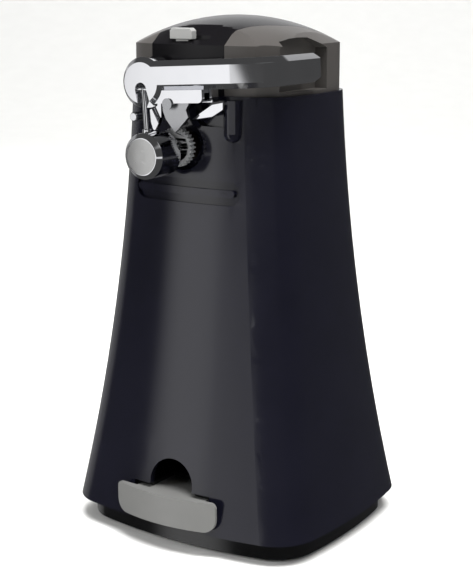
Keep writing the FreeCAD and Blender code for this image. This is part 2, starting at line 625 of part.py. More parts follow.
def release():
    """Knob on the cap's front edge, its latch bar inside the cap, and the latch spring."""
    knob = box(KNOB_X, KNOB_Y, KNOB_Z)
    knob = knob.makeChamfer(1.2, [e for e in knob.Edges if e.BoundBox.ZMin > KNOB_Z[1] - 0.1
                                  and e.BoundBox.XLength < 0.1])
    neck = box(NECK_X, NECK_Y, (LATCH_Z[1], KNOB_Z[0]))
    save("release_knob", knob.fuse(neck))
    bar = box((-17, 6.0), (-34.4, -28.8), LATCH_Z)
    hook = box((-17, -14.5), (-31.6, -28.8), (LATCH_Z[0] - 5, LATCH_Z[0]))
    peg = rod_x(1.0, (SPRING_AT[0], SPRING_AT[1]), (6.0, 8.0))
    save("latch_bar", bar.fuse(hook).fuse(peg))
    spring_x = (6.1, 17.9)
    helix = Part.makeHelix(1.4, spring_x[1] - spring_x[0] - 0.6, 1.7)
    wire = Part.Wire(Part.Circle(V(1.7, 0, 0), V(0, 1, 0), 0.25).toShape())
    spring = Part.Wire(helix.Edges).makePipeShell([wire], True, True)
    spring.rotate(V(0, 0, 0), V(0, 1, 0), 90)
    spring.translate(V(spring_x[0] + 0.3, SPRING_AT[0], SPRING_AT[1]))
    save("latch_spring", spring)


SPRING_AT = (-31.2, 228.9)


# ---------------------------------------------------------------- lever
def lever_arm():
    """Bar and boss in one casting. The bar bends round the head's front right corner."""
    height = BAR_FACE / 2 + BAR_CHAMFER
    z = BOSS_AT[1] + BAR_RISE
    front_y = BOSS_Y[0]
    start = (BOSS_AT[0], front_y, z)
    turn_x = BAR_RIGHT_X - BAR_BEND_R
    turn_y = front_y + BAR_BEND_R
    half_turn = BAR_BEND_R * math.sqrt(0.5)
    path = Part.Wire([
        line(start, (turn_x, front_y, z)),
        arc((turn_x, front_y, z), (turn_x + half_turn, turn_y - half_turn, z), (BAR_RIGHT_X, turn_y, z)),
        line((BAR_RIGHT_X, turn_y, z), (BAR_RIGHT_X, BAR_END_Y, z)),
    ])
    profile = [(0, -BAR_FACE / 2), (0, BAR_FACE / 2), (BAR_CHAMFER, height), (BAR_DEPTH, height),
               (BAR_DEPTH, -height), (BAR_CHAMFER, -height)]
    corners = [V(BOSS_AT[0], front_y + depth, z + up) for depth, up in profile]
    section = Part.makePolygon(corners + corners[:1])
    bar = path.makePipeShell([section], True, False)

    relief = box((20, BAR_RIGHT_X - BAR_SIDE), (turn_y + 0.5, 10), (z - 20, z + 20))
    bar = bar.cut(relief)
    end_low, end_high = BAR_END_Y - 3.5, BAR_END_Y + 1
    for side in (-1, 1):
        edge = z + side * height
        bar = bar.cut(prism([(end_low, edge + side), (end_low, edge), (end_high, edge - side * 4.5),
                             (end_high, edge + side)], "x", 30, 60))
    bevel = prism([(BAR_RIGHT_X + 1, BAR_END_Y - 2.5), (BAR_RIGHT_X - 3, BAR_END_Y + 1),
                   (BAR_RIGHT_X + 1, BAR_END_Y + 1)], "z", z - 20, z + 20)
    bar = bar.cut(bevel)

    boss = rod_y(BOSS_R, BOSS_AT, BOSS_Y)
    boss = boss.makeChamfer(BAR_CHAMFER - 0.2, [e for e in boss.Edges if e.BoundBox.YMax < BOSS_Y[0] + 0.1])
    arm = boss.fuse(bar).removeSplitter()
    arm = turned(arm, BOSS_AT, LEVER_TILT)
    arm = arm.cut(rod_y(LEVER_SHAFT_R + FIX, BOSS_AT, (BOSS_Y[0] + 5.4, -30)))

    hang_x, hang_y, hang_z = HANG_AT
    notch_back_y = hang_y + 2.2
    notch = prism([(-21.3, 212.7), (-15.1, 212.7), (-11.6, 202.5), (-19.4, 202.5)], "y", -60, notch_back_y)
    notch = notch.fuse(rod_y(3.1, (BOSS_AT[0], 212.7), (-60, notch_back_y)))
    arm = arm.cut(notch).cut(rod_x(WIRE_R + RUN, (hang_y, hang_z), (HANG_PIN_X[0] - 0.1, HANG_PIN_X[1] + 0.1)))
    save("lever_arm", arm)


HANG_PIN_X = (-23.4, -13.2)
CARRIER_Z = 206.3
BLADE_Y = (-49.2, -47.2)


def lever_fittings():
    """Blade between the carrier's two plates, the rivet through them, and the can guide."""
    clear_boss = rod_y(BOSS_R + FIX, BOSS_AT, (-60, -30))
    bar_low_z = BOSS_AT[1] + BAR_RISE - BAR_FACE / 2 - BAR_CHAMFER
    front = box((-11.5, 14.5), (-51.2, BLADE_Y[0] - FIX), (CARRIER_Z, bar_low_z))
    front = round_along(front, "y", 2.2, lambda e: e.BoundBox.XMin > 10 and e.BoundBox.ZMax < 209)
    rear = box((-11.5, 17.0), (BLADE_Y[1] + FIX, -42.0), (CARRIER_Z, bar_low_z))
    rear = round_along(rear, "y", 2.2, lambda e: e.BoundBox.XMin > 10 and e.BoundBox.ZMax < 209)
    strap = box((-8.0, 17.0), (-47, -42.0), (CARRIER_Z, bar_low_z)).fuse(
        box((-4.0, 14.0), (BOSS_Y[0] + BAR_DEPTH, -40.4), (CARRIER_Z + 3.5, bar_low_z + 8)))
    joint = box((-4.0, 14.0), (-51.2, -42.0), (bar_low_z - 1.6, bar_low_z))
    carrier = front.fuse(rear).fuse(strap).fuse(joint)
    carrier = turned(carrier, BOSS_AT, LEVER_TILT).cut(clear_boss)
    rivet_at = (-3.7, 206.9)
    hole = rod_y(1.75 + FIX, rivet_at, (-60, -30))

    blade = prism([(-8.0, 209.3), (-8.0, 203.7), (-6.4, 200.0), (-3.7, 196.9), (-1.2, 194.1), (6.0, 201.3),
                   (4.7, 204.6), (6.2, 207.0), (6.8, 209.8)], "y", *BLADE_Y)
    bevel = prism([(-3.7, 196.9), (-1.2, 193.2), (7.5, 201.2), (4.7, 204.6)], "y", -60, BLADE_Y[0])
    bevel.rotate(V(-3.7, BLADE_Y[0], 196.9), V(8.4, 0, 7.7), -20)
    blade = blade.cut(bevel)
    carrier = carrier.cut(prism([(-8.6, 209.5), (-8.6, 200), (7.6, 200), (7.6, 210.0)], "y",
                                BLADE_Y[0] - FIX, BLADE_Y[1] + FIX))
    guide = prism([(-8.9, 208.6), (-10.7, 208.6), (-10.9, 205.6), (-15.2, 203.6), (-14.6, 198.0), (-13.5, 195.0),
                   (-12.8, 194.5), (-12.1, 195.0), (-10.2, 198.2), (-8.9, 203.0)], "y", *BLADE_Y)
    flange = prism([(-8.9, 205.8), (-9.7, 205.8), (-9.7, 200.5), (-8.9, 200.5)], "y", BLADE_Y[0], -44.2)
    guide = guide.fuse(flange).cut(clear_boss)
    carrier = carrier.cut(box((-11.6, -8.8), (BLADE_Y[0] - FIX, BLADE_Y[1] + FIX), (200, 208.7)))
    carrier = carrier.cut(box((-9.8, -8.8), (BLADE_Y[0], -44.1), (200, 205.9)))

    save("blade_carrier", max(carrier.cut(hole).Solids, key=lambda solid: solid.Volume))
    save("cutter_blade", blade.cut(hole))
    save("can_guide", guide)
    rivet = rod_y(1.75, rivet_at, (-51.6, -42.4))
    rivet = rivet.fuse(rod_y(2.6, rivet_at, (-52.0, -51.22)))
    save("blade_rivet", rivet)


CAM_Y = (-25.0, -21.8)


def lever_shaft():
    """Shaft fixed in the boss. It turns in a bush and carries the cam that works the switch."""
    save("lever_shaft", rod_y(LEVER_SHAFT_R, BOSS_AT, (BOSS_Y[0] + 5.5, CAM_Y[1] + 1.0)))
    bush = rod_y(LEVER_BUSH_R, BOSS_AT, (-39.4, FRONT_PLATE_Y[1] + 0.3)).fuse(rod_y(5.2, BOSS_AT, (-39.4, -37.9)))
    save("lever_bush", bush.cut(rod_y(LEVER_SHAFT_R + RUN, BOSS_AT, (-45, -30))))
    x, z = BOSS_AT
    hub = rod_y(5.6, BOSS_AT, CAM_Y)
    arm = box((x - 14.5, x), CAM_Y, (z - 2.0, z + 1.6))
    cam = hub.fuse(arm).cut(rod_y(LEVER_SHAFT_R + FIX, BOSS_AT, CAM_Y))
    save("lever_cam", cam)


def switch():
    """Micro switch above the cam's arm, with its sprung plunger pointing down."""
    x, y = -30.0, (CAM_Y[0] + CAM_Y[1]) / 2
    low_z = 221.0
    body = box((x - 3.2, x + 7.5), (y - 2.6, y + 2.6), (low_z, low_z + 7))
    body = body.cut(rod_z(1.0 + RUN, (x, y), (low_z - 1, low_z + 4.5)))
    save("micro_switch", body)
    save("switch_plunger", rod_z(1.0, (x, y), (218.2, low_z + 2.5)))


# ---------------------------------------------------------------- magnet
def magnet():
    """Wire that hangs in the boss's notch, and the drum with the magnet at its back."""
    hang_x, hang_y, hang_z = HANG_AT
    pin = rod_x(WIRE_R, (hang_y, hang_z), HANG_PIN_X)
    wire = pin.fuse(Part.makeSphere(WIRE_R + 0.2, V(*HANG_AT))).fuse(rod(WIRE_R, HANG_AT, WIRE_FOOT))
    save("magnet_arm", wire)

    front_y, back_y = DRUM_Y
    drum = rod_y(DRUM_R, DRUM_AT, DRUM_Y)
    drum = drum.makeChamfer(DRUM_BEVEL, [e for e in drum.Edges if e.BoundBox.YMax < front_y + 0.1])
    drum = drum.cut(rod_y(DRUM_R - 1.2, DRUM_AT, (back_y - 4.0, back_y)))
    drum = drum.cut(rod_y(DRUM_R - DRUM_BEVEL - 0.4 + FIX, DRUM_AT, (front_y, front_y + 0.8)))
    collar = rod(2.0, (WIRE_FOOT[0], WIRE_FOOT[1], DRUM_AT[1]), COLLAR_TOP)
    drum = drum.fuse(collar).cut(rod(WIRE_R + FIX, HANG_AT, WIRE_FOOT))
    save("magnet_cup", drum)
    save("magnet_face", rod_y(DRUM_R - DRUM_BEVEL - 0.4, DRUM_AT, (front_y, front_y + 0.8)))
    save("magnet_disc", rod_y(DRUM_R - 1.4, DRUM_AT, (back_y - 3.9, back_y - 0.4)))


COLLAR_TOP = (WIRE_FOOT[0] - 0.5, WIRE_FOOT[1] + 0.4, 195.6)


# ---------------------------------------------------------------- fixed metal at the front
STUD_AT = (-30.0, 199.0)
STUD_FRONT_Y = -42.5


def front_metal():
    """Folded lid deflector on the housing's front, and the short guide stud at its left."""
    sheet_y = (-44.8, -43.8)
    plate = prism([(4.6, 199.9), (15.8, 207.0), (21.5, 208.2), (21.5, 205.2), (15.8, 201.8)], "y", *sheet_y)
    shelf = prism([(4.6, 199.9), (15.8, 207.0), (21.5, 208.2), (21.5, 207.1), (16.0, 205.9), (7.2, 200.3)],
                  "y", sheet_y[0], -37.4)
    deflector = plate.fuse(shelf).cut(bell((180, SHOULDER_Z), -0.02).cut(
        prism([(3.6, 199.2), (6.9, 196.7), (18.0, 196.5), (18.0, 206), (3.6, 206)], "y", -60, -37.4)))
    deflector = deflector.cut(rod_z(4.12, (22.6, -38.4), (190, 212)))
    save("lid_deflector", max(deflector.Solids, key=lambda solid: solid.Volume))
    stud = rod_y(2.2, STUD_AT, (STUD_FRONT_Y, -33.5))
    stud = stud.makeChamfer(0.5, [e for e in stud.Edges if e.BoundBox.YMax < STUD_FRONT_Y + 0.1])
    save("guide_stud", stud)


# ---------------------------------------------------------------- pull-out tool
TOOL_Y = (-61.6, -30.0)
TOOL_BLADE_Y = (-42.0, 12.0)
TOOL_BLADE_Z = (19.6, 21.8)
TOOL_BLADE_HALF_X = 15.5


def tool():
    """Crescent pull with a moulded tongue, a steel opener plate in it, and the tray it slides in."""
    end_y, middle_y = -61.2, -66.0
    back_end_y, back_middle_y = -59.9, -60.9
    half = HANDLE_HALF_X
    low = HANDLE_Z[0]
    outline = Part.Wire([
        arc((-half, end_y, low), (0, middle_y, low), (half, end_y, low)),
        line((half, end_y, low), (half, back_end_y, low)),
        arc((half, back_end_y, low), (0, back_middle_y, low), (-half, back_end_y, low)),
        line((-half, back_end_y, low), (-half, end_y, low)),
    ])
    crescent = Part.Face(outline).extrude(V(0, 0, HANDLE_Z[1] - low))
    front_view = box((-half, half), (-70, -50), HANDLE_Z)
    front_view = round_along(front_view, "y", 6.0, lambda e: e.BoundBox.ZMax < low + 0.1)
    front_view = round_along(front_view, "y", 2.5, lambda e: e.BoundBox.ZMin > HANDLE_Z[1] - 0.1)
    tongue = box((-TOOL_HALF_X, TOOL_HALF_X), TOOL_Y, TOOL_Z)
    handle = crescent.common(front_view).fuse(tongue)
    blade = box((-TOOL_BLADE_HALF_X, TOOL_BLADE_HALF_X), TOOL_BLADE_Y, TOOL_BLADE_Z)
    blade = round_along(blade, "z", 5.0, lambda e: e.BoundBox.YMin > 0)
    eye = box((-9, 9), (-16, 4), (TOOL_BLADE_Z[0] - 1, TOOL_BLADE_Z[1] + 1))
    blade = blade.cut(round_along(eye, "z", 5.0))
    socket = box((-TOOL_BLADE_HALF_X - FIX, TOOL_BLADE_HALF_X + FIX), (TOOL_BLADE_Y[0] - FIX, 20),
                 (TOOL_BLADE_Z[0] - FIX, TOOL_BLADE_Z[1] + FIX))
    save("tool_handle", handle.cut(socket))
    save("tool_blade", blade)

    wall = TRAY_WALL
    half_tray = TOOL_HALF_X + GAP
    space = box((-half_tray, half_tray), (-60, 15), (TOOL_Z[0] - GAP, TOOL_Z[1] + GAP))
    tray = box((-half_tray - wall, half_tray + wall), (-54.5, 15 + wall),
               (TOOL_Z[0] - GAP - wall, TOOL_Z[1] + GAP + wall))
    finger_room = box((-NOTCH_R, NOTCH_R), (-60, -38), (TOOL_Z[1], 40))
    tray = tray.cut(space).cut(finger_room)
    save("tool_tray", tray)


# ---------------------------------------------------------------- build
shell = housing_shell()
housing(shell)
cover(shell)
cord_inlet()
base()
head()
release()
gear_train()
gear_case()
drive()
motor()
lever_arm()
lever_fittings()
lever_shaft()
switch()
magnet()
front_metal()
tool()
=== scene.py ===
# %% [markdown]
# # Electric can opener
# This lesson dresses a finished mechanical model. Every machine part already exists at its true size
# and place, so nothing is measured twice. Most pieces, also the housing, the handle and the cutting
# group, keep their machine shape and get a finish. The lever, the cheeks and the cap are copies with
# rounded corners. The feed wheel, its nut, the magnet drum and the knob are modelled again.

# %% Load the frame
import json
import math
import bpy
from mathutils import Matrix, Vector


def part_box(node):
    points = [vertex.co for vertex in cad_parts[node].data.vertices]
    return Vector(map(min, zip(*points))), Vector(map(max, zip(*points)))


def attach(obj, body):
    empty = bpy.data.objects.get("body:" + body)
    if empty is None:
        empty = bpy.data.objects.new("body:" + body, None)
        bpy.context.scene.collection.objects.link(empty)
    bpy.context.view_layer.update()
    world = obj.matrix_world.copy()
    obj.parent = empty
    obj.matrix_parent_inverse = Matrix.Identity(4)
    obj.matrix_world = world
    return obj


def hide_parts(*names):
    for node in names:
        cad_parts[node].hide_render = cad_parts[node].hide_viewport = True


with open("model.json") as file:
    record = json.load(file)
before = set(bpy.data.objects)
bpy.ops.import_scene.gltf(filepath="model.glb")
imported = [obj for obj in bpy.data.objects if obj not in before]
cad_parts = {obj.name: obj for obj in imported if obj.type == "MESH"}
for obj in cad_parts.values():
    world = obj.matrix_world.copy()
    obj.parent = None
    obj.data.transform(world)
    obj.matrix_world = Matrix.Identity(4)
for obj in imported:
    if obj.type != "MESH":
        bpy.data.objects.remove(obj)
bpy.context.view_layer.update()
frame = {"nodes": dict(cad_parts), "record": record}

MM = 0.001
SAME_PLACE = 0.01 * MM
print("parts in the frame:", len(frame["nodes"]))


# %% [markdown]
# ## Small tools
# Operators act on whatever is selected, and the import leaves everything selected. Small tools
# keep that in hand: one clears the selection, one picks faces, edges or points by a rule, and one
# finishes a piece.

# %% Tools for modelling
def clear_selection():
    if bpy.context.object and bpy.context.object.mode == "EDIT":
        bpy.ops.object.mode_set(mode="OBJECT")
    bpy.ops.object.select_all(action="DESELECT")


def pick(piece, kind, rule):
    """Selects the faces, edges or vertices of a piece that a rule accepts, and stays in edit mode."""
    bpy.ops.object.mode_set(mode="OBJECT")
    mesh = piece.data
    for group in (mesh.vertices, mesh.edges, mesh.polygons):
        group.foreach_set("select", [False] * len(group))
    chosen = [part for part in getattr(mesh, kind) if rule(part)]
    for part in chosen:
        part.select = True
    bpy.ops.object.mode_set(mode="EDIT")
    mode = {"vertices": "VERT", "edges": "EDGE", "polygons": "FACE"}[kind]
    bpy.ops.mesh.select_mode(type=mode)
    return len(chosen)


def edge_middle(piece, edge):
    one, two = (piece.data.vertices[i].co for i in edge.vertices)
    return (one + two) / 2


def start_rod(name, middle, radius, low, high, sides=64):
    """Round bar along Y from low to high, with its axis at (X, Z)."""
    clear_selection()
    bpy.ops.mesh.primitive_cylinder_add(
        vertices=sides, radius=radius, depth=high - low,
        location=(middle[0], (low + high) / 2, middle[1]), rotation=(math.pi / 2, 0, 0))
    piece = bpy.context.object
    piece.name = name
    bpy.ops.object.transform_apply(location=True, rotation=True, scale=True)
    return piece


def bevel_edges(piece, rule, width, steps=3):
    count = pick(piece, "edges", rule)
    bpy.ops.mesh.bevel(offset=width, segments=steps, affect="EDGES")
    bpy.ops.object.mode_set(mode="OBJECT")
    return count


def finish_piece(piece, body, nodes, material, angle=35):
    """Smooths a piece, hangs it on its body and hides the machine parts it stands for."""
    clear_selection()
    piece.select_set(True)
    bpy.context.view_layer.objects.active = piece
    bpy.ops.object.mode_set(mode="EDIT")
    bpy.ops.mesh.select_all(action="SELECT")
    bpy.ops.mesh.normals_make_consistent(inside=False)
    bpy.ops.object.mode_set(mode="OBJECT")
    bpy.ops.object.shade_smooth_by_angle(angle=math.radians(angle))
    weigh = piece.modifiers.new("flat_faces", "WEIGHTED_NORMAL")
    weigh.weight = 90
    weigh.keep_sharp = True
    bpy.ops.object.modifier_apply(modifier=weigh.name)
    piece.data.materials.clear()
    piece.data.materials.append(material)
    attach(piece, body)
    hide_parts(*nodes)
    print(piece.name, "faces:", len(piece.data.polygons))


# %% [markdown]
# ## Finishes
# A finish is built from what the real surface is. Colours are written as they are named on screen and
# turned to linear light by one function. Patterns are sized in millimetres of the real thing.

# %% Colour and node tools
def linear(code):
    """Linear colour from an sRGB code such as #55524f."""
    parts = [int(code[i:i + 2], 16) / 255 for i in (1, 3, 5)]
    return tuple(v / 12.92 if v <= 0.04045 else ((v + 0.055) / 1.055) ** 2.4 for v in parts) + (1.0,)


def per_metre(millimetres):
    """Noise scale at which one lump of the pattern is about this wide."""
    return 1 / (millimetres * MM)


def add_node(tree, kind, settings=None, links=None):
    """Adds one shader node, sets its sockets or properties, and feeds its sockets."""
    made = tree.nodes.new("ShaderNode" + kind)
    for name, value in (settings or {}).items():
        if isinstance(name, int) or name in made.inputs:
            made.inputs[name].default_value = value
        else:
            setattr(made, name, value)
    for name, source in (links or {}).items():
        tree.links.new(source, made.inputs[name])
    return made


def new_finish(name):
    material = bpy.data.materials.new(name)
    material.use_nodes = True
    tree = material.node_tree
    return material, tree, tree.nodes["Principled BSDF"]


# %% [markdown]
# ### Moulded plastics
# Gloss ABS copies the polish of its mould, so it is nearly a mirror with a faint waviness. Satin parts
# come from a spark-eroded mould whose fine grain scatters the light. Both vary a little in tone.

# %% Moulded plastic
def moulded(name, dark, light, roughness, grain_mm, grain_depth, coat=0.0, shine=0.5):
    material, tree, shader = new_finish(name)
    place = add_node(tree, "TexCoord").outputs["Object"]
    cloud = add_node(tree, "TexNoise", {"Scale": per_metre(30), "Detail": 3.0}, {"Vector": place})
    tint = add_node(tree, "MixRGB", {"Color1": linear(dark), "Color2": linear(light)},
                    {"Fac": cloud.outputs["Fac"]})
    rough = add_node(tree, "MapRange", {"To Min": roughness * 0.8, "To Max": roughness * 1.25},
                     {"Value": cloud.outputs["Fac"]})
    grain = add_node(tree, "TexNoise", {"Scale": per_metre(grain_mm), "Detail": 2.0}, {"Vector": place})
    bump = add_node(tree, "Bump", {"Strength": 0.35, "Distance": grain_depth * MM},
                    {"Height": grain.outputs["Fac"]})
    tree.links.new(tint.outputs["Color"], shader.inputs["Base Color"])
    tree.links.new(rough.outputs["Result"], shader.inputs["Roughness"])
    tree.links.new(bump.outputs["Normal"], shader.inputs["Normal"])
    shader.inputs["IOR"].default_value = 1.5
    shader.inputs["Specular IOR Level"].default_value = shine
    shader.inputs["Coat Weight"].default_value = coat
    shader.inputs["Coat Roughness"].default_value = 0.04
    return material


abs_navy = moulded("ABS_polished_mould_navy", "#0b0b14", "#12121c", 0.13, 2.5, 0.01, coat=0.3)
abs_black = moulded("ABS_polished_mould_black", "#060607", "#0b0b0c", 0.12, 2.5, 0.01, coat=0.2)
abs_cheek = moulded("ABS_satin_mould_warm_grey", "#3d3b39", "#4a4745", 0.36, 0.5, 0.02)
abs_cap = moulded("ABS_satin_mould_black", "#0b0a0c", "#131214", 0.22, 0.6, 0.01, shine=0.22)
abs_knob = moulded("ABS_satin_mould_light_grey", "#8c8c8b", "#9b9b99", 0.32, 0.5, 0.02)
abs_handle = moulded("ABS_satin_mould_mid_grey", "#666665", "#737371", 0.34, 0.5, 0.02)
abs_tray = moulded("ABS_plain_mould_black", "#0c0c0d", "#141415", 0.5, 0.8, 0.03)
nylon = moulded("nylon_moulded_natural", "#d8d3c2", "#e3dfd0", 0.42, 0.7, 0.02)
tape = moulded("polyester_tape_wound_yellow", "#b8932e", "#c9a53b", 0.4, 3.0, 0.08)
phenolic = moulded("phenolic_moulded_black", "#101011", "#1b1b1c", 0.45, 0.7, 0.02)
red_plastic = moulded("acetal_moulded_red", "#8a1a14", "#9c231b", 0.35, 0.7, 0.02)
ferrite = moulded("ferrite_sintered_ground", "#1b1a19", "#292826", 0.6, 0.4, 0.05)
rubber = moulded("rubber_moulded_black", "#131313", "#1e1e1e", 0.75, 0.6, 0.06)


# %% [markdown]
# ### Metals
# Chrome plate is a thin mirror over polished zinc or steel: it shows its surroundings, with faint
# smears. Turned steel keeps rings from the tool, rolled sheet keeps a fine direction, and stacked
# laminations show as thin lines. The blasted steel of the feed wheel is set a little less than fully
# metallic, so that the lamps can light it. That is a help for the picture: real steel is all metal.

# %% Plated and machined metal
def metal(name, dark, light, roughness, smear_mm=12, stretch=(1, 1, 1), grain_depth=0.004, metallic=1.0):
    material, tree, shader = new_finish(name)
    place = add_node(tree, "TexCoord").outputs["Object"]
    along = add_node(tree, "Mapping", {"Scale": stretch}, {"Vector": place})
    smear = add_node(tree, "TexNoise", {"Scale": per_metre(smear_mm), "Detail": 4.0},
                     {"Vector": along.outputs["Vector"]})
    tint = add_node(tree, "MixRGB", {"Color1": linear(dark), "Color2": linear(light)},
                    {"Fac": smear.outputs["Fac"]})
    rough = add_node(tree, "MapRange", {"To Min": roughness * 0.7, "To Max": roughness * 1.4},
                     {"Value": smear.outputs["Fac"]})
    bump = add_node(tree, "Bump", {"Strength": 0.3, "Distance": grain_depth * MM},
                    {"Height": smear.outputs["Fac"]})
    tree.links.new(tint.outputs["Color"], shader.inputs["Base Color"])
    tree.links.new(rough.outputs["Result"], shader.inputs["Roughness"])
    tree.links.new(bump.outputs["Normal"], shader.inputs["Normal"])
    shader.inputs["Metallic"].default_value = metallic
    return material


chrome = metal("chrome_plated_polished", "#dcdde0", "#e9e9eb", 0.06)
satin_nickel = metal("nickel_satin_plated", "#c3c3c2", "#d2d2d0", 0.3, 1.2, (1, 8, 1), 0.01)
ground_steel = metal("steel_hardened_ground", "#c6c7c9", "#dcdddf", 0.34, 1.5, (6, 1, 1), 0.01)
blasted_steel = metal("steel_hardened_blasted", "#b4b5b7", "#cdcecf", 0.42, 0.8, grain_depth=0.02,
                      metallic=0.7)
sheet_steel = metal("steel_sheet_rolled", "#9c9ea0", "#b4b5b7", 0.32, 3, (8, 1, 1), 0.01)
turned_steel = metal("steel_turned", "#a8aaad", "#c3c4c6", 0.24, 0.8, (1, 12, 1), 0.01)
lamination = metal("steel_laminations_stacked", "#5c5a58", "#8d8b88", 0.45, 0.6, (0.02, 1, 0.02), 0.05)
bronze = metal("bronze_sintered_oiled", "#3a3026", "#4d4030", 0.45, 0.8, (1, 1, 1), 0.03)
zinc = metal("steel_zinc_plated", "#b3b6b9", "#c9cbcd", 0.28, 2)
spring_steel = metal("steel_wire_drawn", "#9b9c9e", "#b1b2b4", 0.28, 1)
print("finishes:", len(bpy.data.materials))

# %% [markdown]
# ### Finishes on the machine parts
# Each machine part already names the slot of its material. Giving every slot one finish dresses all
# of them at once, also the pieces inside that are only seen when the object is taken apart.

# %% Dress the machine parts
FINISH_OF_SLOT = {
    "housing_gloss": abs_navy, "plinth_gloss": abs_black, "cheek_grey": abs_cheek, "cap_black": abs_cap,
    "knob_grey": abs_knob, "handle_grey": abs_handle, "chrome_plate": chrome, "blade_steel": ground_steel,
    "plate_steel": sheet_steel, "turned_steel": turned_steel, "lamination_steel": lamination,
    "satin_nickel": satin_nickel, "magnet_ferrite": ferrite, "gear_nylon": nylon, "coil_tape": tape,
    "sintered_bronze": bronze, "switch_plastic": phenolic, "plunger_red": red_plastic,
    "foot_rubber": rubber, "zinc_screw": zinc, "spring_wire": spring_steel, "tray_black": abs_tray,
}
slot_of_node = {row["node"]: row["material_slot"] for row in frame["record"]["subparts"]}
for name, part in frame["nodes"].items():
    part.data.materials.clear()
    part.data.materials.append(FINISH_OF_SLOT[slot_of_node[name]])
print("dressed parts:", len(frame["nodes"]))


# %% [markdown]
# ## Soft-edged shells
# A moulded or cast part has no knife edge: every corner has a small radius that catches a line of
# light. The machine shape is copied, its loose triangles are welded and its flat faces cleaned, and
# then a bevel rounds the corners that are left.

# %% Copy a machine part with rounded corners
def eased(node, width_mm, sharp=28, flat=0.6, steps=2):
    clear_selection()
    source = frame["nodes"][node]
    piece = bpy.data.objects.new(node + "_eased", source.data.copy())
    bpy.context.scene.collection.objects.link(piece)
    piece.select_set(True)
    bpy.context.view_layer.objects.active = piece
    bpy.ops.object.mode_set(mode="EDIT")
    bpy.ops.mesh.select_all(action="SELECT")
    bpy.ops.mesh.remove_doubles(threshold=0.004 * MM)
    bpy.ops.mesh.dissolve_limited(angle_limit=math.radians(flat))
    bpy.ops.object.mode_set(mode="OBJECT")
    bevel = piece.modifiers.new("corner", "BEVEL")
    bevel.width = width_mm * MM
    bevel.segments = steps
    bevel.limit_method = "ANGLE"
    bevel.angle_limit = math.radians(sharp)
    bpy.ops.object.modifier_apply(modifier="corner")
    return piece


EASED_CORNER_MM = {"lever_arm": 0.35, "left_cheek": 0.4, "right_cheek": 0.4, "top_cap": 0.3}
body_of = {node: body for body, nodes in frame["record"]["behaviour"]["bodies"].items() for node in nodes}
for node, width in EASED_CORNER_MM.items():
    piece = eased(node, width)
    finish_piece(piece, body_of[node], [node], FINISH_OF_SLOT[slot_of_node[node]],
                 angle=18)

# %% [markdown]
# ## Feed wheel and its nut
# The feed wheel is hardened steel with sharp teeth that grip under the rim of a can. It starts as a
# disc with four points to a tooth: two stay out as the tip and two are drawn in as the gap. The front
# is dished, as on the real wheel, by insetting the face and pushing it in.

# %% Feed wheel
WHEEL_TEETH = 28
TOOTH_DEPTH = 1.0 * MM
RIM_FLAT = 1.6 * MM
DISH_DEPTH = 0.5 * MM
low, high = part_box("drive_wheel")
wheel_at = ((low.x + high.x) / 2, (low.z + high.z) / 2)
wheel_r = (high.z - low.z) / 2
wheel = start_rod("feed_wheel", wheel_at, wheel_r, low.y, high.y, sides=4 * WHEEL_TEETH)


def in_tooth_gap(vertex):
    turn = math.atan2(vertex.co.z - wheel_at[1], vertex.co.x - wheel_at[0]) / math.tau
    return round(turn * 4 * WHEEL_TEETH) % 4 in (2, 3)


gap_corners = pick(wheel, "vertices", in_tooth_gap)
shrink = 1 - TOOTH_DEPTH / wheel_r
bpy.ops.transform.resize(value=(shrink, 1, shrink),
                         center_override=(wheel_at[0], low.y, wheel_at[1]))
pick(wheel, "polygons", lambda f: f.normal.y < -0.9)
bpy.ops.mesh.inset(thickness=RIM_FLAT)
bpy.ops.transform.translate(value=(0, DISH_DEPTH, 0))
bpy.ops.object.mode_set(mode="OBJECT")
finish_piece(wheel, "drive", ["drive_wheel"], blasted_steel, angle=20)
print("gap corners:", gap_corners)

# %% [markdown]
# ### Wheel nut
# A thin hexagon nut holds the wheel on its shaft. Its outer corners are chamfered, as on a bought nut.

# %% Wheel nut
low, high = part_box("wheel_nut")
nut_r = (high.z - low.z) / 2 - 0.1 * MM
nut = start_rod("wheel_nut_turned", wheel_at, nut_r, low.y, high.y, sides=6)
bevel_edges(nut, lambda e: abs(edge_middle(nut, e).y - low.y) < SAME_PLACE, 0.4 * MM, 2)
finish_piece(nut, "drive", ["wheel_nut"], turned_steel)

# %% [markdown]
# ## Magnet drum
# The lid magnet hides in a chromed drum. A drum like this is turned or spun: a cylinder with a broad
# bevel round its front, a shallow seat for the satin disc, and a hollow back. Small second bevels
# give each corner its bright line.

# %% Drum
DRUM_BEVEL = 2.0 * MM
RIM_WALL = 1.2 * MM
FACE_SEAT = 0.8 * MM
BACK_HOLLOW = 4.0 * MM
CORNER_ROUND = 0.15 * MM
low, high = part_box("magnet_face")
drum_at = ((low.x + high.x) / 2, (low.z + high.z) / 2)
face_r = (high.x - low.x) / 2
drum_low, drum_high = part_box("magnet_cup")
drum_r = (drum_high.x - drum_low.x) / 2
drum = start_rod("magnet_drum", drum_at, drum_r, drum_low.y, drum_high.y, sides=96)
bevel_edges(drum, lambda e: abs(edge_middle(drum, e).y - drum_low.y) < SAME_PLACE, DRUM_BEVEL, 1)
pick(drum, "polygons", lambda f: f.normal.y < -0.99)
bpy.ops.mesh.inset(thickness=drum_r - DRUM_BEVEL - face_r)
bpy.ops.mesh.extrude_region_move(TRANSFORM_OT_translate={"value": (0, FACE_SEAT, 0)})
pick(drum, "polygons", lambda f: f.normal.y > 0.99 and f.center.y > drum_high.y - SAME_PLACE)
bpy.ops.mesh.inset(thickness=RIM_WALL)
bpy.ops.mesh.extrude_region_move(TRANSFORM_OT_translate={"value": (0, -BACK_HOLLOW, 0)})
bpy.ops.object.mode_set(mode="OBJECT")


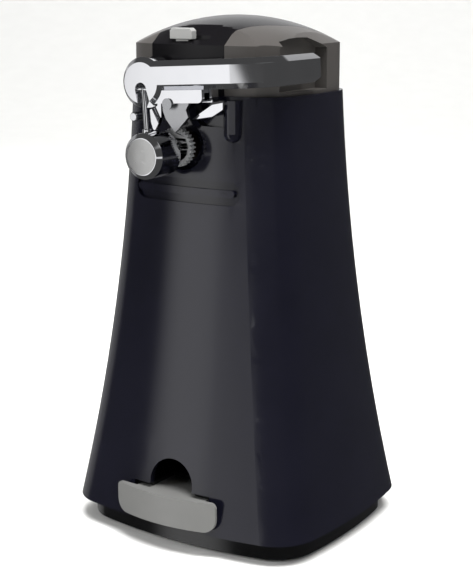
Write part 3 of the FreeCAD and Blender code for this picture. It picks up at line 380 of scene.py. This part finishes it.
def is_drum_corner(edge):
    middle = edge_middle(drum, edge)
    one, two = (drum.data.vertices[i].co for i in edge.vertices)
    reach = math.hypot(one.x - drum_at[0], one.z - drum_at[1])
    round_the_axis = abs(one.y - two.y) < SAME_PLACE
    return round_the_axis and reach > drum_r - DRUM_BEVEL - 0.1 * MM and middle.y < 0


bevel_edges(drum, is_drum_corner, CORNER_ROUND, 2)

# %% [markdown]
# ### Collar of the drum
# The wire ends in a short collar on top of the drum. It is a second closed form, joined to the drum.

# %% Collar
COLLAR_AT = (-11.65 * MM, -56.2 * MM)
COLLAR_R = 2.0 * MM
COLLAR_DEPTH = 4.0 * MM
clear_selection()
bpy.ops.mesh.primitive_cylinder_add(vertices=32, radius=COLLAR_R, depth=COLLAR_DEPTH,
                                    location=(*COLLAR_AT, drum_high.z - COLLAR_DEPTH / 2))
collar = bpy.context.object
collar.name = "drum_collar"
bpy.ops.object.transform_apply(location=True, rotation=True, scale=True)
bevel_edges(collar, lambda e: edge_middle(collar, e).z > drum_high.z - 0.1 * MM, 0.3 * MM, 2)
clear_selection()
collar.select_set(True)
drum.select_set(True)
bpy.context.view_layer.objects.active = drum
bpy.ops.object.join()
finish_piece(drum, "magnet", ["magnet_cup"], chrome, angle=25)

# %% [markdown]
# ### Face of the drum
# The disc in the drum's front is nickel plated and satin, so it glows evenly where the drum shows
# streaks. Its middle is raised by a hair, which turns the light slowly across it.

# %% Drum face
low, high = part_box("magnet_face")
disc_r = face_r - 0.03 * MM
RING_WIDTH = 2.0 * MM
disc = start_rod("drum_face", drum_at, disc_r, low.y, high.y, sides=96)
pick(disc, "polygons", lambda f: f.normal.y < -0.99)
for ring in range(3):
    bpy.ops.mesh.inset(thickness=RING_WIDTH)
bpy.ops.object.mode_set(mode="OBJECT")
for ring, sink in ((0, 0.25), (1, 0.12), (2, 0.04)):
    ring_r = disc_r - ring * RING_WIDTH
    pick(disc, "vertices", lambda v: v.co.y < low.y + SAME_PLACE and abs(
        math.hypot(v.co.x - drum_at[0], v.co.z - drum_at[1]) - ring_r) < 0.1 * MM)
    bpy.ops.transform.translate(value=(0, sink * MM, 0))
bpy.ops.object.mode_set(mode="OBJECT")
finish_piece(disc, "magnet", ["magnet_face"], satin_nickel, angle=50)

# %% [markdown]
# ## Release knob
# A small moulded knob with a finger-friendly top: a box whose two top corners are cut at a slant and
# whose other corners are rounded. Its neck goes down through the slot in the cap.

# %% Knob
low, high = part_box("release_knob")
KNOB_HEIGHT = 5.0 * MM
clear_selection()
bpy.ops.mesh.primitive_cube_add(size=1, location=((low.x + high.x) / 2, (low.y + high.y) / 2,
                                                  high.z - KNOB_HEIGHT / 2))
knob = bpy.context.object
knob.name = "release_knob_moulded"
knob.scale = (high.x - low.x, high.y - low.y, KNOB_HEIGHT)
bpy.ops.object.transform_apply(location=True, rotation=True, scale=True)
pick(knob, "polygons", lambda f: f.normal.z < -0.9)
bpy.ops.mesh.inset(thickness=0.5 * MM)
bpy.ops.transform.resize(value=(0.6, 0.6, 1))
bpy.ops.mesh.extrude_region_move(TRANSFORM_OT_translate={"value": (0, 0, low.z - high.z + KNOB_HEIGHT)})
bpy.ops.object.mode_set(mode="OBJECT")


def is_slant_corner(edge):
    middle = edge_middle(knob, edge)
    at_side = min(abs(middle.x - low.x), abs(middle.x - high.x)) < SAME_PLACE
    return at_side and middle.z > high.z - SAME_PLACE


bevel_edges(knob, is_slant_corner, 1.2 * MM, 1)
bevel_edges(knob, lambda e: edge_middle(knob, e).z > high.z - KNOB_HEIGHT - SAME_PLACE, 0.35 * MM, 3)
finish_piece(knob, "release", ["release_knob"], abs_knob)

# %% [markdown]
# ## The room
# A pale paper floor curves up into a wall behind the object, so no horizon shows from the front. The
# floor is hidden from reflections: what gloss and chrome mirror is set further on, by the world.

# %% Floor
AZIMUTH, ELEVATION, DISTANCE = math.radians(33.55), math.radians(12.15), 0.667
FLOOR = 3.0
COVE_R = 1.5
COVE_STEPS = 24
clear_selection()
bpy.ops.mesh.primitive_plane_add(size=2 * FLOOR, location=(0, 0, 0))
floor = bpy.context.object
floor.name = "studio_floor"
pick(floor, "edges", lambda e: edge_middle(floor, e).y > FLOOR - 0.01)
bpy.ops.mesh.extrude_region_move(TRANSFORM_OT_translate={"value": (0, 0, FLOOR)})
bpy.ops.object.mode_set(mode="OBJECT")
bevel_edges(floor, lambda e: edge_middle(floor, e).y > FLOOR - 0.01 and edge_middle(floor, e).z < 0.01,
            COVE_R, COVE_STEPS)
bpy.ops.object.select_all(action="DESELECT")
floor.select_set(True)
bpy.ops.object.shade_smooth()
floor.rotation_euler = (0, 0, AZIMUTH)
bpy.ops.object.transform_apply(location=True, rotation=True, scale=True)
paper = moulded("paper_backdrop_matt", "#ececea", "#f2f2f0", 0.9, 0.8, 0.02)
floor.data.materials.append(paper)
floor.visible_glossy = False
print("floor faces:", len(floor.data.polygons))

# %% [markdown]
# ## Camera
# The camera stands to the front right, a little above the object, and looks at its middle.

# %% Camera
AIM = Vector((0, 0, 0.1225))
back = Vector((math.sin(AZIMUTH) * math.cos(ELEVATION), -math.cos(AZIMUTH) * math.cos(ELEVATION),
               math.sin(ELEVATION)))
camera_data = bpy.data.cameras.new("camera")
camera_data.sensor_width = 36
camera_data.lens = 85.77
camera_data.shift_x = -0.0029565
camera_data.shift_y = -0.029913
camera = bpy.data.objects.new("camera", camera_data)
bpy.context.scene.collection.objects.link(camera)
camera.location = AIM + back * DISTANCE
camera.rotation_mode = "QUATERNION"
camera.rotation_quaternion = (-back).to_track_quat("-Z", "Y")
bpy.context.scene.camera = camera
print("camera lens:", camera_data.lens)

# %% [markdown]
# ## Lamps
# Soft panels light the matt and satin surfaces. They are hidden from reflections, or they would
# burn white spots into the chrome.

# %% Lamps


def panel(name, place, size, power, aim=AIM):
    """Soft light panel that faces a point. Size in metres, power in watts."""
    lamp = bpy.data.lights.new(name, "AREA")
    lamp.shape = "RECTANGLE"
    lamp.size, lamp.size_y = size
    lamp.energy = power
    stand = bpy.data.objects.new(name, lamp)
    bpy.context.scene.collection.objects.link(stand)
    stand.location = place
    stand.rotation_mode = "QUATERNION"
    stand.rotation_quaternion = (aim - Vector(place)).to_track_quat("-Z", "Y")
    stand.visible_glossy = False
    return stand


panel("key_left", (-1.0, -1.3, 0.9), (0.7, 1.2), power=14)
panel("fill_right", (1.3, -0.9, 0.9), (0.7, 1.2), power=5)
panel("top", (0.0, 0.1, 1.6), (1.2, 0.9), power=20)
panel("backdrop_wash", (0.6, -0.4, 1.9), (1.2, 0.6), power=85, aim=Vector((-1.2, 2.4, 0.4)))
print("lamps:", len(bpy.data.lights))

# %% [markdown]
# ### What gloss and chrome mirror
# The world stands in for the mirrored room: dark, with soft panels placed by direction. Their places
# were chosen for the main view: a panel to the front left for the body's upright highlight, a low
# card for the lever, and a pale wall behind. The camera itself sees plain near-white.

# %% Reflections
world = bpy.data.worlds.new("studio")
bpy.context.scene.world = world
world.use_nodes = True
tree = world.node_tree
look = add_node(tree, "TexCoord").outputs["Generated"]
level = add_node(tree, "VectorMath", {"operation": "MULTIPLY"}, {0: look})
level.inputs[1].default_value = (1, 1, 0)
level = add_node(tree, "VectorMath", {"operation": "NORMALIZE"}, {0: level.outputs["Vector"]})
level = level.outputs["Vector"]
height = add_node(tree, "SeparateXYZ", None, {"Vector": look}).outputs["Z"]


def ease(value, start, full):
    """Smooth rise from 0 to 1 as a value goes from start to full."""
    return add_node(tree, "MapRange", {"interpolation_type": "SMOOTHSTEP", "From Min": start,
                                       "From Max": full}, {"Value": value}).outputs["Result"]


def combine(operation, one, two):
    return add_node(tree, "Math", {"operation": operation}, {0: one, 1: two}).outputs["Value"]


def soft_panel(turn, full, soft, low, high, strength, rim=6):
    """Upright panel seen from the object: its turn from the front, half widths and heights in degrees."""
    side = add_node(tree, "VectorMath", {"operation": "DOT_PRODUCT"}, {0: level})
    side.inputs[1].default_value = (math.sin(math.radians(turn)), -math.cos(math.radians(turn)), 0)
    across = ease(side.outputs["Value"], math.cos(math.radians(soft)), math.cos(math.radians(full)))
    above = ease(height, math.sin(math.radians(low - rim)), math.sin(math.radians(low + rim)))
    below = ease(height, math.sin(math.radians(high + rim)), math.sin(math.radians(high - rim)))
    shape = combine("MULTIPLY", across, combine("MULTIPLY", above, below))
    return add_node(tree, "Math", {"operation": "MULTIPLY", 1: strength}, {0: shape}).outputs["Value"]


body_panel = soft_panel(-31, 2, 14, -60, 34, 1.15)
lever_card = soft_panel(14, 47, 50, -9, -2, 0.8, rim=1)
back_wall = soft_panel(213, 20, 40, 4, 40, 0.95)
high_right = soft_panel(75, 15, 35, 32, 58, 0.8)
left_side = soft_panel(-100, 10, 30, -30, 30, 0.3)
total = body_panel
for other in (lever_card, back_wall, high_right, left_side):
    total = combine("MAXIMUM", total, other)
base = add_node(tree, "Math", {"operation": "ADD", 1: 0.07}, {0: total}).outputs["Value"]
seen = add_node(tree, "LightPath").outputs["Is Camera Ray"]
final = add_node(tree, "Math", {"operation": "MAXIMUM"}, {0: base, 1: seen}).outputs["Value"]
tree.links.new(final, tree.nodes["Background"].inputs["Strength"])
tree.nodes["Background"].inputs["Color"].default_value = linear("#f8f8f9")
print("world nodes:", len(tree.nodes))
bpy.context.scene.view_settings.view_transform = "Standard"
